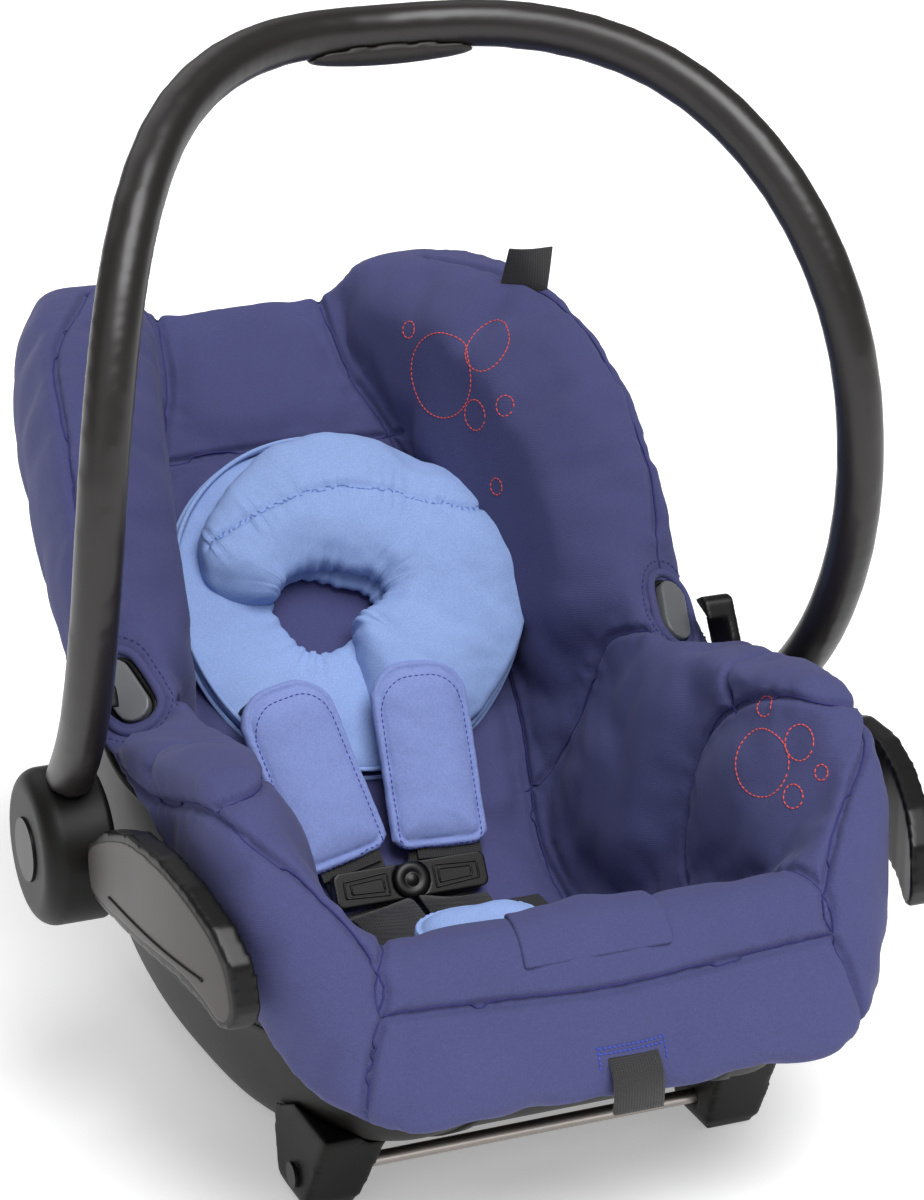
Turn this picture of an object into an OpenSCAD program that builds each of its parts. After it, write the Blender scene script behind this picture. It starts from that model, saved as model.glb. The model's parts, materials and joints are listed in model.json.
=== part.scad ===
// Infant carrier car seat: rocker shell, padded cover, harness and a folding carry handle.
// +Z up, the foot end faces -Y, the head end +Y; origin at the middle of the base.

/* [Handle] */
// Diameter of the carry handle tube
tube_d = 26; // [22:1:28]
// Diameter of the handle hubs
hub_d = 84; // [78:1:86]
// Diameter of the pivot pins
pin_d = 16; // [12:1:18]
// Diameter of the round push buttons on the hubs
hub_button_d = 34; // [28:1:38]

/* [Shell] */
// Wall thickness of the moulded shell
shell_wall = 3.5; // [3:0.5:5]
// Diameter of the docking rod between the feet
rod_d = 8; // [6:0.5:9]

/* [Soft parts] */
// Thickness of the padded cover over the seat
cover_t = 12; // [9:1:12]
// Thickness of the foam under the cover
foam_t = 30; // [20:1:34]
// Width of the harness webbing
strap_w = 38; // [30:1:40]
// Radius of the head support pillow
pillow_r = 104; // [96:1:106]

/* [Hidden] */

// Handle pivot axis, along X
pivot_y = -37;
pivot_z = 165;
// Gap between neighbouring solids
gap = 0.5;

// Backrest plane: a point on it and its slope
back_y = 175;
back_z = 205;
back_tilt = 47;

// Sections of the shell, foot end to head end:
// bottom y, bottom z, rim y, rim z, half width at the bottom, half width at the rim, keel height
SHELL = [
    [-232, 98, -226, 138, 78, 112, 0],
    [-222, 78, -215, 150, 92, 132, 0],
    [-190, 58, -185, 176, 104, 150, 2],
    [-135, 37, -132, 198, 111, 164, 6],
    [-50, 4, -60, 196, 115, 172, 26],
    [40, -3, 0, 194, 117, 176, 34],
    [135, -3, 38, 200, 118, 175, 34],
    [210, 30, 70, 232, 118, 171, 28],
    [250, 104, 100, 285, 117, 166, 14],
    [285, 192, 135, 325, 115, 160, 6],
    [314, 268, 185, 348, 110, 150, 0],
    [330, 322, 240, 362, 100, 136, 0]
];
// Sections of the room for the child, in the same order, without a keel
CABIN = [
    [-240, 150, -242, 275, 104, 150, 0],
    [-226, 172, -230, 275, 108, 158, 0],
    [-208, 184, -216, 275, 112, 162, 0],
    [-190, 172, -200, 275, 108, 162, 0],
    [-150, 106, -160, 275, 88, 154, 0],
    [-80, 62, -95, 275, 92, 134, 0],
    [-10, 62, -24, 275, 95, 138, 0],
    [42, 62, -4, 275, 96, 139, 0],
    [86, 106, 8, 278, 96, 139, 0],
    [140, 168, 24, 290, 96, 139, 0],
    [200, 232, 62, 361, 90, 136, 0],
    [260, 296, 122, 425, 74, 126, 0],
    [345, 387, 207, 516, 44, 112, 0]
];
// Sections of the outside of the cover, from its hem to its rim
COVER = [
    [-256, 93, -234, 150, 118, 124, 0],
    [-246, 94, -226, 180, 140, 146, 0],
    [-215, 104, -205, 212, 158, 166, 0],
    [-175, 136, -170, 242, 170, 179, 0],
    [-125, 158, -125, 256, 172, 182, 0],
    [-60, 188, -65, 240, 178, 184, 0],
    [0, 198, -5, 226, 180, 185, 0],
    [50, 203, 35, 228, 178, 183, 0],
    [105, 206, 66, 262, 172, 179, 0],
    [172, 240, 102, 335, 166, 173, 0],
    [222, 276, 158, 372, 158, 166, 0],
    [274, 306, 222, 390, 146, 154, 0],
    [318, 316, 284, 386, 126, 136, 0],
    [338, 310, 308, 378, 110, 120, 0]
];
// Half of the handle's centreline, from the hub up to the middle: x, y, z
HANDLE = [
    [210, 0, 193], [211, -22, 214], [212, -48, 244], [213, -74, 296], [211, -84, 353], [205, -82, 412],
    [192, -63, 466], [172, -34, 511], [142, 4, 546], [102, 37, 564], [54, 63, 570], [0, 73, 567]
];
// Side outline of a belt guide arm: y, z
GUIDE_SIDE = [
    [-50, 186], [-75, 202], [-110, 214], [-145, 215], [-172, 209], [-196, 197], [-210, 182],
    [-215, 160], [-209, 148], [-198, 146], [-184, 153], [-160, 158], [-90, 157], [-60, 157], [-50, 164]
];
// Plan line of a belt guide arm: y, x of its middle
GUIDE_PLAN = [[-44, 207], [-100, 204], [-140, 200], [-170, 195], [-200, 188], [-218, 182]];

function unit(v) = v / norm(v);
function blend(a, b, t) = a + (b - a) * t;
function reversed(p) = [for (i = [len(p) - 1:-1:0]) p[i]];

// A point of the clamped cubic B-spline over control points p, t from 0 to 1
function spline_at(p, t) =
    let (
        q = concat([p[0], p[0]], p, [p[len(p) - 1], p[len(p) - 1]]),
        spans = len(q) - 3,
        u = min(t * spans, spans - 1e-6),
        i = floor(u),
        f = u - i,
        g = 1 - f
    )
    (
        q[i] * g * g * g + q[i + 1] * (3 * f * f * f - 6 * f * f + 4)
        + q[i + 2] * (3 * g * g * g - 6 * g * g + 4) + q[i + 3] * f * f * f
    ) / 6;
function spline(p, count) = [for (k = [0:count - 1]) spline_at(p, k / (count - 1))];

// Half of a section, from the middle of the bottom to the rim: x and share of the height
function half_section(bottom_w, rim_w, keel) = spline([
    [0, keel], [bottom_w * 0.5, keel], [bottom_w * 0.76, keel * 0.9], [bottom_w * 0.86, 0],
    [bottom_w * 1.04, 0], [blend(bottom_w, rim_w, 0.42), 0.22],
    [blend(bottom_w, rim_w, 0.86), 0.62], [rim_w, 1]
], 11);

// One section as a closed loop in space; grow moves it outwards, lift raises its rim
function section_loop(s, grow, lift, level) =
    let (
        low = [s[0], s[1]],
        high = [s[2], s[3]],
        up = unit(high - low),
        raised = level ? s[6] : 0,
        base = low + up * (raised - grow),
        tall = norm(high - low) + grow + lift - raised,
        half = half_section(s[4] + grow, s[5] + grow, level ? 0 : s[6] / tall),
        points = concat(reversed(half), [for (i = [1:len(half) - 1]) [-half[i][0], half[i][1]]])
    )
    [for (p = points) [p[0], base[0] + up[0] * tall * p[1], base[1] + up[1] * tall * p[1]]];

// Solid through a row of closed loops
module skin(loops) {
    n = len(loops[0]);
    m = len(loops);
    polyhedron(
        points = [for (loop = loops) each loop],
        faces = concat(
            [[for (j = [0:n - 1]) j]],
            [[for (j = [0:n - 1]) m * n - 1 - j]],
            [for (i = [0:m - 2], j = [0:n - 1])
                let (k = (j + 1) % n) [i * n + j, (i + 1) * n + k, i * n + k]],
            [for (i = [0:m - 2], j = [0:n - 1])
                let (k = (j + 1) % n) [i * n + j, (i + 1) * n + j, (i + 1) * n + k]]
        )
    );
}

// Solid tub through sections. level drops the keel; front and back move the two ends outwards
module tub(sections, grow = 0, lift = 0, level = false, front = 0, back = 0, count = 19) {
    rows = [for (r = spline(sections, count)) if (r[0] >= sections[0][0] - min(front, 0)) r];
    last = len(rows) - 1;
    loops = [for (r = rows) section_loop(r, grow, lift, level)];
    ends = concat(
        [[for (p = loops[0]) p + [0, -max(front, 0), 0]]],
        [for (i = [1:last - 1]) loops[i]],
        [[for (p = loops[last]) p + [0, back * cos(70), back * sin(70)]]]
    );
    skin(ends);
}

module seat_frame() translate([0, pivot_y, 0]) children();
module side_of(side) mirror([side < 0 ? 1 : 0, 0, 0]) children();
// Local x, y up the backrest and z out of it
module on_back() translate([0, back_y, back_z]) rotate([back_tilt, 0, 0]) children();
module along_x(from) translate([from, 0, 0]) rotate([0, 90, 0]) children();
module at_pivot() translate([0, 0, pivot_z]) children();

// Flat block with rounded corners, centred, its lower face at z 0
module rounded_plate(w, l, t, r) {
    linear_extrude(t) offset(r) square([w - 2 * r, l - 2 * r], center = true);
}
module pill(w, l, t) {
    hull() for (end = [-1, 1]) translate([0, end * (l - w) / 2, 0]) cylinder(d = w, h = t, $fn = 32);
}
// Round tube along a path of points, with the same number of sides everywhere
module tube_along(path, r, sides) {
    n = len(path);
    function way(i) = unit(path[min(i + 1, n - 1)] - path[max(i - 1, 0)]);
    skin([for (i = [0:n - 1])
        let (w = way(i), a = unit(cross(w, [0.13, 1, 0.21])), b = cross(w, a))
        [for (k = [0:sides - 1]) path[i] + (a * cos(360 * k / sides) + b * sin(360 * k / sides)) * r]]);
}
// Coil spring along Z
module coil(r, wire, length, turns) {
    steps = turns * 12;
    tube_along([for (k = [0:steps])
        [r * cos(30 * k), r * sin(30 * k), wire + (length - 2 * wire) * k / steps]], wire, 6);
}
// Flat band of thickness t along points in a plane
function band(pts, t) =
    let (
        n = len(pts),
        side = [for (i = [0:n - 1])
            let (w = unit(pts[min(i + 1, n - 1)] - pts[max(i - 1, 0)])) [-w[1], w[0]] * t / 2]
    )
    concat([for (i = [0:n - 1]) pts[i] + side[i]], [for (i = [n - 1:-1:0]) pts[i] - side[i]]);
// Webbing whose path lies in the y-z plane
module webbing(pts, w, t) {
    rotate([90, 0, 90]) translate([0, 0, -w / 2]) linear_extrude(w) polygon(band(pts, t));
}

// ---- shell, feet and docking rod ----
foot_x = 115;
rod_y = -128;
rod_z = 17;
boss_r = 26;
boss_start = 156;
boss_end = 189.5;

module shell_outside(grow = 0, lift = 0) tub(SHELL, grow, lift);
module shell_inside(lift = 40, extra = 0, back = 30) {
    tub(SHELL, -shell_wall - extra, lift, level = true, front = -shell_wall - 4 * extra, back = back);
}
module rib(x) {
    intersection() {
        translate([x - 1.5, 60, 0]) cube([3, 260, 330]);
        tub(SHELL, -shell_wall + 1, -4, level = true);
        on_back() translate([0, 0, -200 - cover_t - foam_t - 3]) cube([400, 600, 400], center = true);
    }
}
module pivot_bosses() {
    for (side = [-1, 1]) {
        side_of(side) at_pivot() along_x(boss_start) {
            cylinder(r = boss_r, h = boss_end - boss_start, $fn = 48);
        }
    }
}
module shell() color("#2b2a2c") seat_frame() {
    difference() {
        union() {
            intersection() {
                shell_outside();
                translate([-300, -400, 0]) cube([600, 900, 600]);
            }
            pivot_bosses();
        }
        shell_inside();
        release_pocket(-1, 1);
        release_pocket(1, 1);
        adjuster_path(2);
    }
    for (side = [-1, 1], x = [76, 96]) rib(side * x);
}
module foot(side) color("#262527") seat_frame() side_of(side) difference() {
    hull() {
        translate([foot_x - 13, -137, 0]) cube([26, 32, 2]);
        translate([foot_x - 16, -142, 6]) cube([32, 42, 2]);
        translate([foot_x - 22, -168, 52]) cube([36, 80, 2]);
    }
    shell_outside(1.5);
    translate([0, rod_y, rod_z]) along_x(80) cylinder(d = rod_d + 0.1, h = 80, $fn = 32);
}
module docking_rod() color("#b9b2aa") seat_frame() {
    translate([0, rod_y, rod_z]) along_x(-foot_x - 12) cylinder(d = rod_d, h = 2 * foot_x + 24, $fn = 32);
}
module rod_end_caps() color("#1d1c1e") seat_frame() for (side = [-1, 1]) side_of(side) {
    translate([0, rod_y, rod_z]) along_x(foot_x + 16.3) cylinder(d = rod_d + 6, h = 2, $fn = 32);
}

// ---- padding ----
module cabin(grow = 0, lift = 0) tub(CABIN, grow, lift, front = grow, back = 10);
module foam_liner() color("#d9dde0") seat_frame() difference() {
    intersection() {
        shell_inside(40, 0.8, -3);
        shell_outside(0, -6);
        cabin(cover_t + 1 + foam_t);
    }
    cabin(cover_t + 1);
    harness_room();
    adjuster_run(2);
    for (side = [-1, 1]) {
        release_pocket(side, 1);
        side_of(side) at_pivot() along_x(130) cylinder(r = boss_r + 1, h = 60, $fn = 32);
    }
}
module seat_cover() color("#3d3f8f") seat_frame() difference() {
    union() {
        difference() {
            tub(COVER, 0, 0, count = 23);
            shell_outside(gap, gap);
        }
        intersection() {
            shell_inside(40, 0.8, -3);
            shell_outside(0, 3);
            cabin(cover_t);
        }
    }
    cabin();
    harness_room();
    for (side = [-1, 1]) side_of(side) {
        at_pivot() along_x(150) cylinder(r = boss_r + 1, h = 60, $fn = 32);
    }
    release_pocket(-1, 1);
    release_pocket(1, 1);
}
module wing_tag() color("#17171a") seat_frame() {
    translate([122, 208, 390]) rotate([22, 0, -12]) cube([26, 1.2, 20]);
}
module adjuster_flap() color("#3b3d8b") seat_frame() {
    translate([-6, -207, 184]) rounded_plate(80, 40, 3, 8);
}

// ---- release buttons ----
release_at = [161, 44, 226];
button_w = 19;
button_l = 40;
module release_frame(side) {
    side_of(side) translate(release_at) rotate([0, 0, 40]) rotate([48, 0, 0]) rotate([0, 0, -45]) children();
}
module release_pocket(side, grow) {
    release_frame(side) translate([0, 0, -24]) pill(button_w + 7 + grow, button_l + 7 + grow, 80);
}
module button_housing(side) color("#1e1e21") seat_frame() release_frame(side) difference() {
    translate([0, 0, -23]) pill(button_w + 7, button_l + 7, 25);
    translate([0, 0, -20]) pill(button_w + 0.8, button_l + 0.8, 60);
}
module release_button(side) color("#8b8d93") seat_frame() release_frame(side) {
    translate([0, 0, -6]) pill(button_w, button_l, 12);
}
module release_spring(side) color("#c8c8cc") seat_frame() release_frame(side) {
    translate([0, 0, -19.8]) coil(5, 0.7, 8, 4);
}
module belt_hook(side) color("#151517") seat_frame() side_of(side) difference() {
    translate([172, 26, 222]) rotate([60, 0, 0]) rotate([0, 90, 0]) rounded_plate(24, 34, 18, 6);
    tub(COVER, 0.4, 0.4, count = 23);
    shell_outside(gap);
}

// ---- belt guides ----
guide_t = 13;
module belt_guide(side) color("#6b6361") seat_frame() side_of(side) difference() {
    union() {
        intersection() {
            translate([150, 0, 0]) rotate([90, 0, 90]) linear_extrude(80) {
                offset(5) offset(-5) polygon(GUIDE_SIDE);
            }
            linear_extrude(400) polygon([for (p = band(spline(GUIDE_PLAN, 12), guide_t)) [p[1], p[0]]]);
        }
        // Post that holds the arm on the shell
        translate([0, -74, 178]) along_x(150) cylinder(r = 13, h = 50, $fn = 48);
    }
    tub(COVER, 1.2, 1.2, count = 23);
    shell_outside(0.8);
}

// ---- handle ----
pin_flange_r = 20;
hub_in = 193;
hub_out = 231;
pin_end = 213;
well_floor = 217.5;
module pivot_pin(side) color("#aeb0b5") seat_frame() side_of(side) at_pivot() {
    along_x(boss_end + 0.1) cylinder(r = pin_flange_r, h = 2.6, $fn = 48);
    along_x(boss_end + 2) cylinder(d = pin_d, h = pin_end - boss_end - 2, $fn = 48);
}
module hub_pod(grow = 0) {
    r = hub_d / 2 + grow;
    at_pivot() along_x(hub_in - grow) rotate_extrude($fn = 64) difference() {
        hub_profile(r, hub_out - hub_in + 2 * grow);
        translate([-200, -50]) square([200, 200]);
    }
}
module hub_profile(r, t) {
    edge = 11;
    square([r - edge, t]);
    translate([r - edge, 4]) square([edge, t - 4 - edge]);
    translate([0, 4]) square([r, t - 4 - edge]);
    translate([r - edge, t - edge]) circle(edge, $fn = 48);
    translate([r - 4, 4]) circle(4, $fn = 32);
    square([r - 4, 8]);
}
module hub(side) color("#242326") seat_frame() side_of(side) difference() {
    hub_pod();
    at_pivot() {
        along_x(hub_in - 1) cylinder(d = pin_d + 0.12, h = pin_end - hub_in + 1.5, $fn = 48);
        along_x(well_floor) cylinder(d = hub_button_d + 0.8, h = 30, $fn = 48);
    }
}
module hub_button(side) color("#3a3a3e") seat_frame() side_of(side) at_pivot() {
    along_x(225.5) cylinder(d = hub_button_d, h = 7, $fn = 64);
    along_x(221.5) cylinder(r = 5, h = 4, $fn = 32);
}
module hub_spring(side) color("#c8c8cc") seat_frame() side_of(side) at_pivot() {
    along_x(well_floor + 0.1) coil(9, 0.6, 4.5, 3);
}
handle_line = concat(HANDLE, [for (i = [len(HANDLE) - 2:-1:0])
    [-HANDLE[i][0], HANDLE[i][1], HANDLE[i][2]]]);
handle_path = spline(handle_line, 61);
module handle_tube() color("#333133") seat_frame() difference() {
    tube_along(handle_path, tube_d / 2, 16);
    for (side = [-1, 1]) side_of(side) hub_pod(0.1);
}
// Finger pad under the middle of the tube
module handle_grip() color("#2b292b") seat_frame() difference() {
    skin([for (k = [-8:8])
        let (
            p = spline_at(handle_line, 0.5 + 0.0044 * k),
            bulge = sqrt(1 - pow(k / 8.4, 2)),
            deep = 3 + 6.5 * bulge,
            wide = 8 + 6.5 * bulge
        )
        [for (a = [330:-30:0]) [p[0], p[1] + wide * cos(a), p[2] - tube_d / 2 + 3 + deep * sin(a)]]]);
    tube_along(handle_path, tube_d / 2 + 0.1, 16);
}

// ---- head support ----
module strap_holes(grow = 1.5) for (side = [-1, 1]) shoulder_path(side, grow);
module pillow_back() color("#7f9fe6") seat_frame() difference() {
    on_back() translate([8, 0, 1]) scale([1, 1.06, 1]) cylinder(r = pillow_r - 3, h = 10, $fn = 48);
    on_back() translate([2, 2, -5]) cylinder(r = 22, h = 60, $fn = 32);
    strap_holes();
    cover_clear();
}
// Horseshoe roll, open at the bottom where the harness comes out
module pillow_roll() color("#7f9fe6") seat_frame() difference() {
    on_back() translate([8, 0, 26]) skin([for (turn = [258:-12:-78])
        [for (k = [0:30:330])
            let (out = pillow_r - 36 + 34 * cos(k)) [out * cos(turn), 1.06 * out * sin(turn), 14.3 * sin(k)]]
    ]);
    on_back() translate([-200, -200, -40]) cube([400, 400, 51.6]);
    strap_holes();
    for (side = [-1, 1]) harness_pad_body(side, 0.8);
    cover_clear();
}
// Keeps the pillow off the sides of the cover
module cover_clear() difference() {
    on_back() translate([-250, -250, -10]) cube([500, 500, 120]);
    cabin(-0.8);
}

// ---- harness ----
// The two shoulder pads hang unevenly, each turned outwards at its top
function lean(side) = side < 0 ? 12 : 3;
module harness_frame(side) {
    on_back() side_of(side) translate([30, -160, 0]) rotate([0, 0, -lean(side)]) {
        translate([0, 160, 0]) children();
    }
}
module shoulder_path(side, grow = 0) {
    harness_frame(side) webbing([
        [-164, 16], [-115, 26.7], [-64, 37.6], [-59, 37.5], [-56, 34], [-54, 20], [-54, -60]
    ], strap_w + grow, 1.6 + grow);
}
module harness_pad_body(side, grow = 0) {
    harness_frame(side) translate([0, -106, 28.6]) rotate([12, 0, 0]) translate([0, 0, -5.5 - grow]) {
        rounded_plate(54 + 2 * grow, 106 + 2 * grow, 11 + 2 * grow, 14);
    }
}
module harness_pad(side) color("#5c67c8") seat_frame() difference() {
    harness_pad_body(side);
    shoulder_path(side, 0.8);
    if (side < 0) harness_pad_body(1, 0.4);
}
module shoulder_strap(side) color("#17171a") seat_frame() {
    shoulder_path(side);
    side_of(side) translate([25, 0, 0]) webbing([[32.5, 76.5], [22, 69], [12, 66], [3, 69]], strap_w, 1.6);
}
module splitter_plate() color("#9a9ca1") seat_frame() on_back() {
    translate([0, -66, -63.5]) rounded_plate(144, 30, 2.5, 6);
}
// Everything of the harness that passes through the padding
module harness_room() {
    strap_holes(2);
    translate([0, -86, 46]) rounded_plate(strap_w + 4, 8, 60, 1);
    for (side = [-1, 1]) side_of(side) translate([75, 4, 46]) rounded_plate(6, strap_w + 4, 60, 1);
    translate([0, -196, 118]) rounded_plate(46, 30, 120, 4);
    adjuster_path(2);
}
module crotch_strap() color("#17171a") seat_frame() {
    webbing([[-86, 52], [-86, 76], [-84, 79.5], [-77, 80]], strap_w, 1.8);
}
module crotch_pad() color("#7f9fe6") seat_frame() {
    translate([0, -68, 93]) rotate([4, 0, 0]) rounded_plate(72, 48, 11, 20);
}
module hip_strap(side) color("#17171a") seat_frame() side_of(side) {
    webbing_side = [[75, 50], [75, 72], [72, 76], [46, 76]];
    translate([0, 4 + strap_w / 2, 0]) rotate([90, 0, 0]) linear_extrude(strap_w) {
        polygon(band(webbing_side, 1.8));
    }
}

// ---- buckle ----
buckle_y = -50;
buckle_z = 73;
module buckle_housing() color("#1b1b1e") seat_frame() translate([0, buckle_y, buckle_z]) difference() {
    rounded_plate(46, 52, 15, 7);
    translate([0, -8, 8]) rounded_plate(26.8, 20.8, 20, 4);
    translate([0, 24, 3]) rounded_plate(40, 30, 4, 1);
}
module buckle_button() color("#b3271f") seat_frame() {
    translate([0, buckle_y - 8, buckle_z + 12]) rounded_plate(26, 20, 5, 4);
}
module buckle_spring() color("#c8c8cc") seat_frame() {
    translate([0, buckle_y - 8, buckle_z + 8]) coil(5, 0.5, 3.9, 2);
}
module buckle_tongue(side) color("#8f9196") seat_frame() side_of(side) {
    translate([10, buckle_y + 30, buckle_z + 3.8]) rounded_plate(18, 38, 2.2, 2);
}

// ---- chest clip ----
clip_s = -176;
clip_n = 20;
module clip_frame() on_back() translate([0, clip_s, clip_n]) rotate([12, 0, 0]) children();
module chest_clip(side) color("#1b1b1e") seat_frame() clip_frame() side_of(side) difference() {
    translate([23, 0, -3]) rounded_plate(45.4, 20, 8, 4);
    translate([0, 0, -10]) cylinder(r = 11, h = 30, $fn = 48);
    translate([31, 0, -4]) rounded_plate(18, 30, 3, 0.5);
}
module chest_clip_button() color("#2a2a2e") seat_frame() clip_frame() {
    translate([0, 0, -1]) cylinder(r = 10.5, h = 7.5, $fn = 48);
}

// ---- adjuster ----
module adjuster_path(grow = 0) {
    webbing([[-205, 127], [-228, 127], [-250, 124], [-260, 119], [-263, 112], [-262, 92]],
        strap_w + grow, 1.8 + grow);
}
module adjuster_housing() color("#232326") seat_frame() difference() {
    translate([0, -196, 119]) rounded_plate(44, 28, 30, 3);
    translate([0, -196, 125]) rounded_plate(24.8, 16.8, 40, 3);
    translate([0, -211, 122]) rounded_plate(strap_w + 1, 18, 9, 0.5);
}
module adjuster_button() color("#6a6c72") seat_frame() {
    translate([0, -196, 142]) rounded_plate(24, 16, 12, 3);
}
module adjuster_spring() color("#c8c8cc") seat_frame() translate([0, -196, 125.1]) coil(5, 0.6, 16.8, 5);
// The run from the splitter plate under the seat to the adjuster
module adjuster_run(grow = 0) {
    webbing([
        [168, 102], [149, 64], [124, 45], [84, 40], [-60, 40], [-120, 48], [-165, 72], [-190, 100],
        [-193, 117]
    ], strap_w + grow, 1.8 + grow);
}
module adjuster_strap() color("#17171a") seat_frame() {
    adjuster_path();
    adjuster_run();
}

shell();
foot(1);  // foot_left
foot(-1);  // foot_right
docking_rod();
rod_end_caps();
foam_liner();
seat_cover();
wing_tag();
adjuster_flap();
button_housing(1);  // button_housing_left
button_housing(-1);  // button_housing_right
release_button(1);  // release_button_left
release_button(-1);  // release_button_right
release_spring(1);  // release_spring_left
release_spring(-1);  // release_spring_right
belt_hook(1);  // belt_hook_left
belt_hook(-1);  // belt_hook_right
belt_guide(1);  // belt_guide_left
belt_guide(-1);  // belt_guide_right
pivot_pin(1);  // pivot_pin_left
pivot_pin(-1);  // pivot_pin_right
pillow_back();
pillow_roll();
harness_pad(1);  // harness_pad_left
harness_pad(-1);  // harness_pad_right
shoulder_strap(1);  // shoulder_strap_left
shoulder_strap(-1);  // shoulder_strap_right
splitter_plate();
hip_strap(1);  // hip_strap_left
hip_strap(-1);  // hip_strap_right
crotch_strap();
crotch_pad();
buckle_housing();
buckle_button();
buckle_spring();
buckle_tongue(1);  // buckle_tongue_left
buckle_tongue(-1);  // buckle_tongue_right
chest_clip(1);  // chest_clip_left
chest_clip(-1);  // chest_clip_right
chest_clip_button();
adjuster_housing();
adjuster_button();
adjuster_spring();
adjuster_strap();
handle_tube();
handle_grip();
hub(1);  // hub_left
hub(-1);  // hub_right
hub_button(1);  // hub_button_left
hub_button(-1);  // hub_button_right
hub_spring(1);  // hub_spring_left
hub_spring(-1);  // hub_spring_right
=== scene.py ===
"""Looks of the infant car seat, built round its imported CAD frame."""

import json
import math

import bmesh
import bpy
import numpy as np
from mathutils import Matrix, Vector, noise
from mathutils.bvhtree import BVHTree
from mathutils.kdtree import KDTree


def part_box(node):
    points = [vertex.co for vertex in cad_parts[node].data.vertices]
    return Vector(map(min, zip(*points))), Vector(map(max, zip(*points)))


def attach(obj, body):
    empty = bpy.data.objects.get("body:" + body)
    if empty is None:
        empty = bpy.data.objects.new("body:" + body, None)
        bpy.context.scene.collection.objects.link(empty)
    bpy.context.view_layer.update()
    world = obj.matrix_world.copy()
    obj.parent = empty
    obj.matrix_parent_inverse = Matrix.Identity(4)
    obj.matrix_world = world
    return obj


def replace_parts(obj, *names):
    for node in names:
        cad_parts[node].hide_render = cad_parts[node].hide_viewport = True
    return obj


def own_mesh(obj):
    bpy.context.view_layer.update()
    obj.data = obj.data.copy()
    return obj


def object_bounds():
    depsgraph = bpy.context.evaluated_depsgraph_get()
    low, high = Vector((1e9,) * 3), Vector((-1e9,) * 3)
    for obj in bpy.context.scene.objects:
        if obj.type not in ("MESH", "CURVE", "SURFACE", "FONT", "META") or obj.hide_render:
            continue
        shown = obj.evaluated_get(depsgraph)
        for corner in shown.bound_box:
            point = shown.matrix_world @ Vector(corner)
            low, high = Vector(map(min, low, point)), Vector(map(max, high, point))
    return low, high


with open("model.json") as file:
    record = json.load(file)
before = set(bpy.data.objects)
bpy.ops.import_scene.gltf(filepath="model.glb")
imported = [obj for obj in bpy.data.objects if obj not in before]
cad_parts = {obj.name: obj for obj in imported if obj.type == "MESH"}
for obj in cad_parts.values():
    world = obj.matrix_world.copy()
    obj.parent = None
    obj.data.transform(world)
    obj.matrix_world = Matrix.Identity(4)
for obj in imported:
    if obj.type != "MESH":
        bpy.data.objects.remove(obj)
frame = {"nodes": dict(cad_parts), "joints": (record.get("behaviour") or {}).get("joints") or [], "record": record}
cad_low, cad_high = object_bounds()

# ---- places, in millimetres from the handle's pivot line in y and from the floor in z ----
MM = 0.001
FOLD = next(j for j in frame["joints"] if j["name"] == "handle_fold")
PIVOT_Y, PIVOT_Z = FOLD["pos_m"][1], FOLD["pos_m"][2]
BACK_AT = (0, 175, 205)
BACK_TILT = math.radians(47)
SIDES = {"left": 1, "right": -1}


def at(x, y, z):
    """A point of the row frame, in metres."""
    return Vector((x * MM, PIVOT_Y + y * MM, z * MM))


def on_back(x, s, n):
    """A point by its place on the backrest: x across, s up it and n out of it."""
    along, out = math.cos(BACK_TILT), math.sin(BACK_TILT)
    return at(BACK_AT[0] + x, BACK_AT[1] + s * along - n * out, BACK_AT[2] + s * out + n * along)


BACK_OUT = (on_back(0, 0, 1) - on_back(0, 0, 0)).normalized()


def added(name, data):
    """A new object in the scene."""
    made = bpy.data.objects.new(name, data)
    bpy.context.scene.collection.objects.link(made)
    return made


# ---- camera and light ----
def make_camera():
    """Looks at the seat from its front left, a little from above."""
    azimuth, elevation, distance = math.radians(-22.49), math.radians(20), 1.90074
    target = at(-14.45, -72.72, 298.16)
    back = Vector((
        math.sin(azimuth) * math.cos(elevation),
        -math.cos(azimuth) * math.cos(elevation),
        math.sin(elevation),
    ))
    cam = added("camera", bpy.data.cameras.new("camera"))
    cam.location = target + back * distance
    cam.rotation_mode = "QUATERNION"
    cam.rotation_quaternion = (-back).to_track_quat("-Z", "Y")
    cam.data.sensor_width = 36
    cam.data.lens = 110.65
    bpy.context.scene.camera = cam


def soft_light(name, source, strength, spread):
    """Even light from a wide patch of sky in the direction of source."""
    data = bpy.data.lights.new(name, "SUN")
    data.energy, data.angle = strength, spread
    lamp = added(name, data)
    lamp.location = source
    lamp.rotation_mode = "QUATERNION"
    lamp.rotation_quaternion = (-Vector(source)).to_track_quat("-Z", "Y")


make_camera()


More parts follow.
